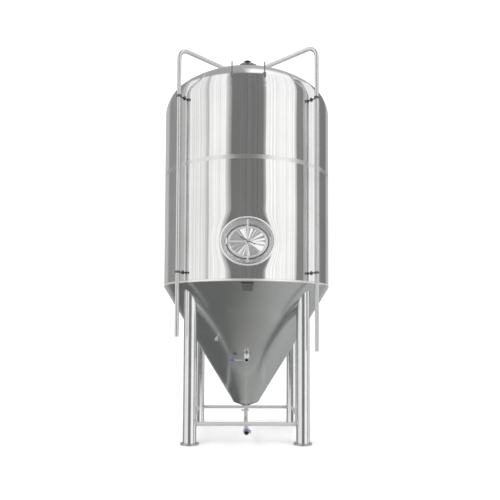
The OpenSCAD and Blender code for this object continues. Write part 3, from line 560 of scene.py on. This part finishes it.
def shell_skin():
    """Cylinder whose mesh turns into ovals round the manway's collar."""
    radius = SHELL_R - SKIN_INSET
    step = 2 * pi / SHELL_COLUMNS
    half = WINDOW_COLUMNS // 2
    low, high = MANWAY_Z - WINDOW_HALF_H, MANWAY_Z + WINDOW_HALF_H
    rows = [SHELL_Z + BAND_H, low]
    rows += [low + (high - low) * i / WINDOW_ROWS for i in range(1, WINDOW_ROWS + 1)]
    rows += [high + (SHELL_TOP - high) * i / 24 for i in range(1, 25)]
    angles = [(c - SHELL_COLUMNS // 2) * step for c in range(SHELL_COLUMNS)]
    points = [on_shell(angle, z, radius) for z in rows for angle in angles]
    first, last = SHELL_COLUMNS // 2 - half, SHELL_COLUMNS // 2 + half
    faces = []
    for r in range(len(rows) - 1):
        in_rows = 1 <= r < 1 + WINDOW_ROWS
        for c in range(SHELL_COLUMNS):
            if in_rows and first <= c < last:
                continue
            d = (c + 1) % SHELL_COLUMNS
            faces.append((r * SHELL_COLUMNS + c, r * SHELL_COLUMNS + d,
                          (r + 1) * SHELL_COLUMNS + d, (r + 1) * SHELL_COLUMNS + c))
    border = [(first + i, 1) for i in range(WINDOW_COLUMNS)]
    border += [(last, 1 + i) for i in range(WINDOW_ROWS)]
    border += [(last - i, 1 + WINDOW_ROWS) for i in range(WINDOW_COLUMNS)]
    border += [(first, 1 + WINDOW_ROWS - i) for i in range(WINDOW_ROWS)]
    count = len(border)
    start = len(points)
    for ring in range(WINDOW_RINGS):
        share = (ring / WINDOW_RINGS) ** 1.3
        for c, r in border:
            across = (c - SHELL_COLUMNS // 2) * step * radius
            up = rows[r] - MANWAY_Z
            turn = atan2(up / WINDOW_HALF_H, across / (half * step * radius))
            x = COLLAR_A * cos(turn) * (1 - share) + across * share
            z = MANWAY_Z + COLLAR_B * sin(turn) * (1 - share) + up * share
            points.append(on_shell(x / radius, z, radius))
    for ring in range(WINDOW_RINGS - 1):
        a, b = start + ring * count, start + (ring + 1) * count
        for j in range(count):
            k = (j + 1) % count
            faces.append((a + j, a + k, b + k, b + j))
    a = start + (WINDOW_RINGS - 1) * count
    edge = [r * SHELL_COLUMNS + c for c, r in border]
    for j in range(count):
        k = (j + 1) % count
        faces.append((a + j, a + k, edge[k], edge[j]))
    return mesh_piece("shell_skin", points, faces)


def edge_band():
    """Rolled edge along the shell's bottom."""
    out, back = SHELL_R - 0.0002, SHELL_R - 0.006
    roll = BAND_H / 2
    profile = [(back, SHELL_Z + 0.0004)]
    profile += [(out - 0.004 + 0.004 * cos(turn), SHELL_Z + roll + (roll - 0.0004) * sin(turn))
                for turn in (radians(step) for step in range(-88, 89, 16))]
    profile += [(back, SHELL_Z + BAND_H + 0.0005)]
    return lathe("shell_edge_band", profile, SHELL_COLUMNS)


def dome_skin():
    """Torispherical top: a knuckle that rolls over into a shallow crown."""
    ring_r = SHELL_R - KNUCKLE
    drop = sqrt((CROWN - KNUCKLE) ** 2 - ring_r ** 2)
    join_at = degrees(acos(ring_r / (CROWN - KNUCKLE)))
    profile = [(SHELL_R - SKIN_INSET, SHELL_TOP + 0.0001)]
    profile += arc(ring_r, SHELL_TOP, KNUCKLE - SKIN_INSET, 1, join_at, 28)
    profile += arc(0, SHELL_TOP - drop, CROWN - SKIN_INSET, join_at + 1, 89.9, 34)
    return lathe("dome_skin", profile, SHELL_COLUMNS, closed=False)


def cone_skin():
    """Cone, down to a shallow cap that closes the cladding round the outlet."""
    low_z = cone_low.z
    count = 26
    profile = [
        (CONE_END_R + (SHELL_R - SKIN_INSET - CONE_END_R) * i / count, low_z + (SHELL_Z - low_z) * i / count)
        for i in range(count, -1, -1)
    ]
    roll = 0.012
    profile[-1] = (CONE_END_R + roll * 0.4, low_z + roll * 0.5)
    profile.append((CONE_END_R - roll * 0.3, low_z - roll * 0.35))
    profile += [(CONE_END_R * 0.7, low_z - 0.4 * (low_z - CAP_LOW)), (OUTLET_CAP_R, CAP_LOW)]
    return lathe("cone_skin", profile, SHELL_COLUMNS, closed=False)


def cone_height(radius):
    return cone_low.z + (radius - CONE_END_R) / tan(CONE_ANGLE)


def on_cone(z, azimuth):
    radius = SHELL_R - (SHELL_Z - z) * tan(CONE_ANGLE)
    return Vector((radius * sin(azimuth), -radius * cos(azimuth), z))


def cone_axes(azimuth):
    """Across, up the slope and outwards, at an azimuth of the cone."""
    across = Vector((cos(azimuth), sin(azimuth), 0))
    normal = Vector((sin(azimuth) * cos(CONE_ANGLE), -cos(azimuth) * cos(CONE_ANGLE), -sin(CONE_ANGLE)))
    return across, across.cross(normal) * -1, normal


def leg_weld(x, y):
    """Bead where a leg goes into the cone."""
    path = []
    for i in range(72):
        turn = 2 * pi * i / 72
        px, py = x + (LEG_R + 0.001) * cos(turn), y + (LEG_R + 0.001) * sin(turn)
        path.append(Vector((px, py, cone_height(hypot(px, py)) - 0.001)))
    return bead_loop("leg_weld", path, 0.0035)


def circle_weld(centre, axis, radius, bead, count=48):
    turn_to = Vector((0, 0, 1)).rotation_difference(axis).to_matrix()
    path = [centre + turn_to @ Vector((radius * cos(2 * pi * i / count), radius * sin(2 * pi * i / count), 0))
            for i in range(count)]
    return bead_loop("ring_weld", path, bead)


def brace_weld(x, y, axis):
    """Bead where a brace meets a leg, on the brace's surface."""
    path = []
    for i in range(40):
        turn = 2 * pi * i / 40
        side, up = (BRACE_R + 0.0008) * cos(turn), (BRACE_R + 0.0008) * sin(turn)
        out = sqrt(LEG_R ** 2 - side ** 2) + 0.0012
        across = Vector((-axis.y, axis.x, 0))
        path.append(Vector((x, y, BRACE_Z + up)) + axis * out + across * side)
    return bead_loop("brace_weld", path, 0.0022)


def stand_welds():
    parts = []
    for sx in (-1, 1):
        for sy in (-1, 1):
            x, y = sx * LEG_XY, sy * LEG_XY
            parts.append(leg_weld(x, y))
            parts.append(circle_weld(Vector((x, y, FOOT_T + 0.001)), Vector((0, 0, 1)), LEG_R + 0.001, 0.003))
            parts.append(brace_weld(x, y, Vector((-sx, 0, 0))))
            parts.append(brace_weld(x, y, Vector((0, -sy, 0))))
    return join("stand_welds", parts)


# ---------- manway ----------


def funnel_rings():
    """Conical recess from the mouth back to the frame that the door closes against."""
    mouth_a, mouth_b = RIM_A - RIM_W, RIM_B - RIM_W
    frame_a, frame_b = DOOR_A + 0.0012, DOOR_B + 0.0012
    depth = SEAT_Y - MOUTH_Y
    rings = []
    for share in (0.06, 0.3, 0.5, 0.7, 0.85, 0.94, 1.0):
        ease = share - 0.06 * sin(pi * share)
        rings.append((mouth_a + (frame_a - mouth_a) * share, mouth_b + (frame_b - mouth_b) * share,
                      MOUTH_Y + depth * ease))
    return rings


def manway_rim():
    """Skirt and rolled rim of the manway's collar."""
    mouth_a, mouth_b = RIM_A - RIM_W, RIM_B - RIM_W
    back = COLLAR_Y
    rings = [(COLLAR_A - 0.001, COLLAR_B - 0.001, -SHELL_R * 0.93), (COLLAR_A, COLLAR_B, back)]
    for along, out in arc(0, 0, 1, 180, 0, 12):
        centre_a, centre_b = (COLLAR_A + mouth_a) / 2, (COLLAR_B + mouth_b) / 2
        half_a, half_b = (COLLAR_A - mouth_a) / 2, (COLLAR_B - mouth_b) / 2
        lift = (back - MOUTH_Y - 0.0005) * out
        rings.append((centre_a - half_a * along, centre_b - half_b * along, back - lift))
    rings.append((mouth_a + 0.003, mouth_b + 0.003, back + 0.006))
    return oval_loft("manway_rim", rings, 144)


def manway_funnel():
    rings = funnel_rings()
    outside = [(a + 0.003, b + 0.003, y) for a, b, y in reversed(rings)]
    return oval_loft("manway_funnel", rings + outside, 144)


BORDER = [
    (0.0, 0.005), (0.0012, 0.0080), (0.004, 0.0096), (0.010, 0.0104), (0.016, 0.0100), (0.0205, 0.0084),
    (0.0225, 0.0070),
]
DISH_DEPTH = 0.006


def door_border():
    """Rolled border of the door."""
    rings = [(DOOR_A - inward, DOOR_B - inward, DOOR_BACK - forward) for inward, forward in BORDER]
    inward = BORDER[-1][0]
    rings += [(DOOR_A - inward, DOOR_B - inward, DOOR_BACK - 0.0002), (DOOR_A, DOOR_B, DOOR_BACK - 0.0002)]
    return oval_loft("door_border", rings, 144)


def door_plate():
    """Pressed door: a shallow conical dish round the raised hub."""
    inward, forward = 0.0230, 0.0078
    rings = [(0.001, 0.001, DOOR_BACK - 0.0002), (DOOR_A - inward, DOOR_B - inward, DOOR_BACK - 0.0002),
             (DOOR_A - inward, DOOR_B - inward, DOOR_BACK - forward)]
    dish = DISH_DEPTH
    hub_r = 0.026
    for share in (0.03, 0.1, 0.25, 0.45, 0.7, 0.9, 1.0):
        a = (DOOR_A - inward) * (1 - share) + hub_r * share
        b = (DOOR_B - inward) * (1 - share) + hub_r * share
        rings.append((a, b, DOOR_BACK - forward + dish * share))
    front = DOOR_BACK - forward + dish
    rings.append((0.001, 0.001, front))
    plate = oval_loft("door_plate", rings, 144)
    place = Matrix.Translation((0, front + 0.001, MANWAY_Z)) @ Matrix.Rotation(pi / 2, 4, "X")
    length = max(0.004, front - middle("manway_arm").y - 0.0035)
    hub_profile = [(0.0005, 0), (hub_r, 0), (0.0245, 0.003), (0.022, length - 0.002), (0.0205, length)]
    hub_profile += [(0.0005, length)]
    hub = lathe("door_hub", hub_profile, 64, True, place)
    stud_len = front + 0.001 - STUD_END
    stud = [(0.0005, 0), (0.008, 0)]
    pitch = 0.003
    turns = int((stud_len - 0.004) / pitch)
    for i in range(turns):
        z = 0.002 + i * pitch
        stud += [(0.0079, z), (0.0069, z + pitch * 0.5)]
    stud += [(0.0079, stud_len - 0.0016), (0.0066, stud_len), (0.0005, stud_len)]
    rod = lathe("door_stud", stud, 32, True, place)
    return join("door_plate", [plate, hub, rod])


def clamp_bar():
    """Bar across the manway's mouth with rounded bright ends, and its sleeve on the stud."""
    low, high = low_high("manway_yoke")
    bar_front = low.y
    thick = 0.012
    centre = Vector((0, bar_front + thick / 2, MANWAY_Z))
    tall = high.z - low.z
    bar = rounded_bar("bar", (0.0156, thick, tall - 0.024), Matrix.Translation(centre), 0.003, 4)
    parts = [bar]
    for side in (-1, 1):
        end = centre + Vector((0, 0, side * (tall / 2 - 0.013)))
        parts.append(rounded_bar("bar_end", (0.0158, thick, 0.0255), Matrix.Translation(end), 0.0055, 4))
    place = Matrix.Translation((0, bar_front + thick, MANWAY_Z)) @ Matrix.Rotation(pi / 2, 4, "X")
    ring = [(0.0084, 0)] + arc(0.0180, 0.002, 0.002, -90, 0, 3) + arc(0.0180, thick - 0.002, 0.002, 0, 90, 3)
    ring += [(0.0084, thick)]
    parts.append(lathe("bar_eye", ring, 64, True, place))
    sleeve_len = high.y - (bar_front + thick)
    back = Matrix.Translation((0, high.y, MANWAY_Z)) @ Matrix.Rotation(pi / 2, 4, "X")
    sleeve = [(0.0084, 0), (0.0128, 0), (0.014, 0.0012), (0.014, sleeve_len), (0.0084, sleeve_len)]
    parts.append(lathe("bar_sleeve", sleeve, 48, True, back))
    return join("clamp_bar", parts)


def tee_handle():
    """Hub nut with a round cross bar and ball ends."""
    low, high = low_high("manway_handle")
    hub_r = 0.015
    hub_len = 0.028
    place = Matrix.Translation((0, high.y, MANWAY_Z)) @ Matrix.Rotation(pi / 2, 4, "X")
    hub = [(0.0082, 0), (hub_r - 0.002, 0), (hub_r, 0.002), (hub_r, 0.019), (hub_r - 0.004, 0.025),
           (hub_r - 0.005, hub_len), (0.0082, hub_len)]
    parts = [lathe("nut", hub, 48, True, place)]
    tilt = atan2((high.z - low.z) / 2 - 0.006, (high.x - low.x) / 2 - 0.004)
    length = 0.0795
    turn = Matrix.Translation((0, high.y - 0.016, MANWAY_Z))
    turn = turn @ Matrix.Rotation(tilt, 4, "Y") @ Matrix.Rotation(pi / 2, 4, "Y")
    bar = [(0.0004, -length)] + arc(0.0035, -length + 0.0025, 0.0025, -90, 0, 4)
    bar += [(0.0048, -0.05), (0.0058, -0.012), (0.0058, 0.012), (0.0048, 0.05)]
    bar += arc(0.0035, length - 0.0025, 0.0025, 0, 90, 4) + [(0.0004, length)]
    parts.append(lathe("cross_bar", bar, 32, True, turn))
    return join("tee_handle", parts)


# ---------- small pieces ----------


GRIP_AXES = {"outlet_valve_grip": Vector((0, 1, 0)), "racking_valve_grip": Vector((1, 0, 0))}


def lever_grip(node, name):
    """Moulded sleeve with rounded ribs, round the lever's end."""
    centre = middle(node)
    axis = GRIP_AXES[node]
    low, high = low_high(node)
    size = high - low
    length = abs(size.dot(axis))
    radius = min(size.x, size.y, size.z) / 2
    turn_to = Vector((0, 0, 1)).rotation_difference(axis).to_matrix().to_4x4()
    place = Matrix.Translation(centre) @ turn_to
    half = length / 2
    profile = [(0.0006, -half)]
    profile += arc(radius * 0.72, -half + 0.003, 0.003, -90, -10, 4)
    ribs = 7
    for i in range(ribs * 4 + 1):
        z = -half + 0.006 + (length - 0.013) * i / (ribs * 4)
        profile.append((radius * (0.93 + 0.06 * cos(2 * pi * i / 4)), z))
    profile += arc(radius * 0.62, half - 0.005, 0.005, 20, 90, 5)
    profile.append((0.0006, half))
    return lathe(name, profile, 48, True, place)


def weather_cap():
    low, high = low_high("relief_valve_cap")
    radius = (high.x - low.x) / 2
    tall = high.z - low.z
    profile = [(0.0006, 0.0003), (radius - 0.004, 0.0003)] + arc(radius - 0.003, 0.0033, 0.003, -90, 0, 4)
    profile += [(radius - 0.0006, tall * 0.45)]
    profile += arc(radius - 0.0048, tall - 0.0044, 0.0042, 0, 88, 6)
    profile += [(radius * 0.4, tall - 0.0002), (0.0006, tall - 0.0001)]
    return lathe("weather_cap", profile, 72, True, Matrix.Translation((0, 0, low.z)))


def blank_plate():
    """Blank label holder: a top bar over narrowing slats, on a raised bracket."""
    across, rise, normal = cone_axes(0.0)
    face = Matrix((across, rise, normal)).transposed().to_4x4()
    foot = on_cone(PLATE_Z, 0.0)

    def bar(name, wide, tall, thick, up, out, bevel):
        place = Matrix.Translation(foot + normal * out + rise * up) @ face
        return rounded_bar(name, (wide, tall, thick), place, bevel, 2)

    parts = [bar("bracket", 0.094, 0.074, 0.0130, -0.001, 0.0075, 0.002)]
    parts.append(bar("top_bar", 0.126, 0.015, 0.0030, 0.0355, 0.0160, 0.0008))
    for k in range(4):
        wide = 0.112 - 0.005 * k
        thick = 0.0024 - 0.0003 * (k % 2)
        parts.append(bar("slat", wide, 0.0098, thick, 0.0185 - 0.0168 * k, 0.0155, 0.0008))
    rivet = [(0.0003, 0), (0.003, 0), (0.0024, 0.0003), (0.0003, 0.0004)]
    for side in (-1, 1):
        place = Matrix.Translation(foot + normal * 0.0173 + rise * 0.0355 + across * side * 0.056) @ face
        parts.append(lathe("rivet", rivet, 16, True, place))
    return join("blank_plate", parts)


# ---------- stage, light and camera ----------


def stage_floor():
    side = 60.0
    points = [(-side, -side, 0), (side, -side, 0), (side, side, 0), (-side, side, 0)]
    floor = mesh_piece("floor", points, [(0, 1, 2, 3)], smooth=False)
    material, graph, shader, place = start_material("pale_floor", Roughness=0.9)
    cloud = graph.noise(place, (1, 1, 1), 0.8, 3.0, 0.5)
    graph.link(graph.ramp(cloud, [(0.3, grey(0.97)), (0.7, grey(0.99))]), shader.inputs["Base Color"])
    floor.data.materials.append(material)
    floor.visible_glossy = False


# The studio: a mid grey wall with soft boxes and dark flags, each (centre and half width in degrees, grey)
WALL_GREY = 180
# Width of a panel's soft edge, in degrees
PANEL_EDGE = 5
PANELS = [
    (-120, 15, 140), (-75, 15, 230), (-40, 10, 240), (0, 20, 115), (45, 20, 245), (75, 5, 130), (100, 10, 235),
    (130, 10, 120),
]
# The floor's greys where the cone looks at it, on the darker and on the lighter side
FLOOR_DARK = 100
FLOOR_LIGHT = 170


def even_grey(tone):
    return linear(tone, tone, tone)


def panel_stops():
    """The wall's greys round the whole turn, each panel with soft edges."""
    tones = [(-180, WALL_GREY)]
    for centre, half, tone in PANELS:
        tones += [(centre - half - PANEL_EDGE, WALL_GREY), (centre - half, tone)]
        tones += [(centre + half, tone), (centre + half + PANEL_EDGE, WALL_GREY)]
    return [((angle + 180) / 360, even_grey(tone)) for angle, tone in tones if abs(angle) < 180]


def surroundings():
    """A soft studio: striped walls and a pale ceiling for reflections, plain white for everything else."""
    world = bpy.data.worlds.new("studio")
    bpy.context.scene.world = world
    world.use_nodes = True
    graph = Graph(world.node_tree)
    ray = graph.add("ShaderNodeTexCoord").outputs["Generated"]
    parts = graph.add("ShaderNodeSeparateXYZ")
    graph.link(ray, parts.inputs[0])
    x, y, z = parts.outputs
    wobble = graph.noise(ray, (0.6, 0.6, 3.0), 2.2, 2.0, 0.5)
    bend = graph.math("MULTIPLY", graph.math("SUBTRACT", wobble, 0.5), 4.0)
    level_squared = graph.math("SUBTRACT", 1.0, graph.math("MULTIPLY", z, z))
    level = graph.math("SQRT", graph.math("MAXIMUM", level_squared, 0.0))
    ahead = graph.math("SUBTRACT", graph.math("MAXIMUM", level, 0.92), y)
    flat = graph.hypotenuse(x, ahead)
    turn = graph.math("MULTIPLY", graph.math("ARCTAN2", x, ahead), 360 / pi)
    direction = graph.math("ADD", turn, bend)
    walls = graph.ramp(graph.math("DIVIDE", graph.math("SUBTRACT", direction, -180), 360), panel_stops())
    streaks = graph.add("ShaderNodeTexNoise", noise_dimensions="1D")
    streaks.inputs["Scale"].default_value = 0.42
    streaks.inputs["Detail"].default_value = 2.0
    graph.link(direction, streaks.inputs["W"])
    shade = graph.ramp(streaks.outputs["Fac"], [(0.36, grey(0.86)), (0.5, grey(1.0)), (0.64, grey(1.12))])
    behind = smooth_step(graph, graph.math("ABSOLUTE", turn), 150, 170)
    shade = graph.mix(behind, shade, grey(1.0))
    walls = graph.mix(1.0, walls, shade, "MULTIPLY")
    low = graph.mix(smooth_step(graph, x, -0.2, 0.8), even_grey(FLOOR_DARK), even_grey(FLOOR_LIGHT))
    nadir = smooth_step(graph, graph.math("MULTIPLY", z, -1.0), 0.84, 0.97)
    low = graph.mix(nadir, low, linear(172, 170, 168))
    pale = graph.mix(smooth_step(graph, y, 0.2, 0.6), even_grey(255), even_grey(172))
    sky = graph.mix(smooth_step(graph, x, -0.06, 0.06), even_grey(160), pale)
    rise = graph.math("DIVIDE", graph.math("SUBTRACT", z, 0.42), flat)
    upper = graph.mix(smooth_step(graph, rise, 0.5, 0.6), walls, sky)
    fall = graph.math("DIVIDE", z, flat)
    seen = graph.mix(smooth_step(graph, fall, -0.45, -0.3), low, upper)
    seen = graph.mix(behind, seen, even_grey(WALL_GREY))
    path = graph.add("ShaderNodeLightPath")
    plain = graph.add("ShaderNodeBackground")
    plain.inputs["Color"].default_value = grey(1.0)
    plain.inputs["Strength"].default_value = 1.25
    glossy = graph.add("ShaderNodeBackground")
    glossy.inputs["Strength"].default_value = 1.16
    graph.link(seen, glossy.inputs["Color"])
    mix = graph.add("ShaderNodeMixShader")
    graph.link(path.outputs["Is Glossy Ray"], mix.inputs[0])
    graph.link(plain.outputs[0], mix.inputs[1])
    graph.link(glossy.outputs[0], mix.inputs[2])
    output = graph.add("ShaderNodeOutputWorld")
    graph.link(mix.outputs[0], output.inputs[0])


def soft_light(name, place, target, size, power):
    light = bpy.data.lights.new(name, "AREA")
    light.shape = "RECTANGLE"
    light.size, light.size_y = size
    light.energy = power
    lamp = bpy.data.objects.new(name, light)
    lamp.location = place
    lamp.rotation_euler = (Vector(target) - Vector(place)).to_track_quat("-Z", "Y").to_euler()
    lamp.visible_glossy = False
    bpy.context.scene.collection.objects.link(lamp)


# The camera: place, view direction, roll in degrees, lens in millimetres and upward shift
EYE = (-0.0618, -5.8130, 1.1544)
VIEW = (0.0176, 0.9990, 0.0411)
ROLL = 0.25
LENS = 37.92
SHIFT_Y = 0.1115


def camera():
    lens = bpy.data.cameras.new("camera")
    lens.lens = LENS
    lens.sensor_width = 36.0
    lens.shift_y = SHIFT_Y
    lens.clip_end = 200.0
    eye = bpy.data.objects.new("camera", lens)
    forward = Vector(VIEW).normalized()
    aim = forward.to_track_quat("-Z", "Y").to_matrix().to_4x4()
    eye.matrix_world = Matrix.Translation(EYE) @ aim @ Matrix.Rotation(radians(ROLL), 4, "Z")
    bpy.context.scene.collection.objects.link(eye)
    bpy.context.scene.camera = eye


# ---------- assembly ----------

bpy.context.scene.view_settings.view_transform = "Standard"
camera()
surroundings()
stage_floor()
soft_light("key", (-4.5, -5.0, 5.5), (0, 0, 2.2), (3.0, 3.0), 120)
soft_light("fill", (5.0, -4.0, 3.5), (0, 0, 2.0), (3.0, 3.0), 60)
dress_nodes()

dress(thicken(shell_skin(), SKIN_T), "root", MIRROR, ["cladding_shell"])
dress(edge_band(), "root", BAND)
dress(thicken(dome_skin(), SKIN_T), "root", DOME, ["cladding_top"])
dress(thicken(cone_skin(), SKIN_T), "root", CONE, ["cladding_cone", "cladding_cone_cap"])
dress(stand_welds(), "root", WELD)
dress(manway_rim(), "root", COLLAR, ["manway_collar"])
dress(manway_funnel(), "root", FUNNEL)
dress(door_plate(), "door", DOOR, ["manway_door"])
dress(door_border(), "door", BRIGHT)
dress(clamp_bar(), "door", BRIGHT, ["manway_yoke"])
dress(tee_handle(), "door_handle", TEE, ["manway_handle"])
dress(lever_grip("outlet_valve_grip", "outlet_grip"), "outlet_lever", GRIP, ["outlet_valve_grip"])
dress(lever_grip("racking_valve_grip", "racking_grip"), "racking_lever", GRIP, ["racking_valve_grip"])
dress(weather_cap(), "root", BLACK, ["relief_valve_cap"])
dress(blank_plate(), "root", NAMEPLATE, ["nameplate"])
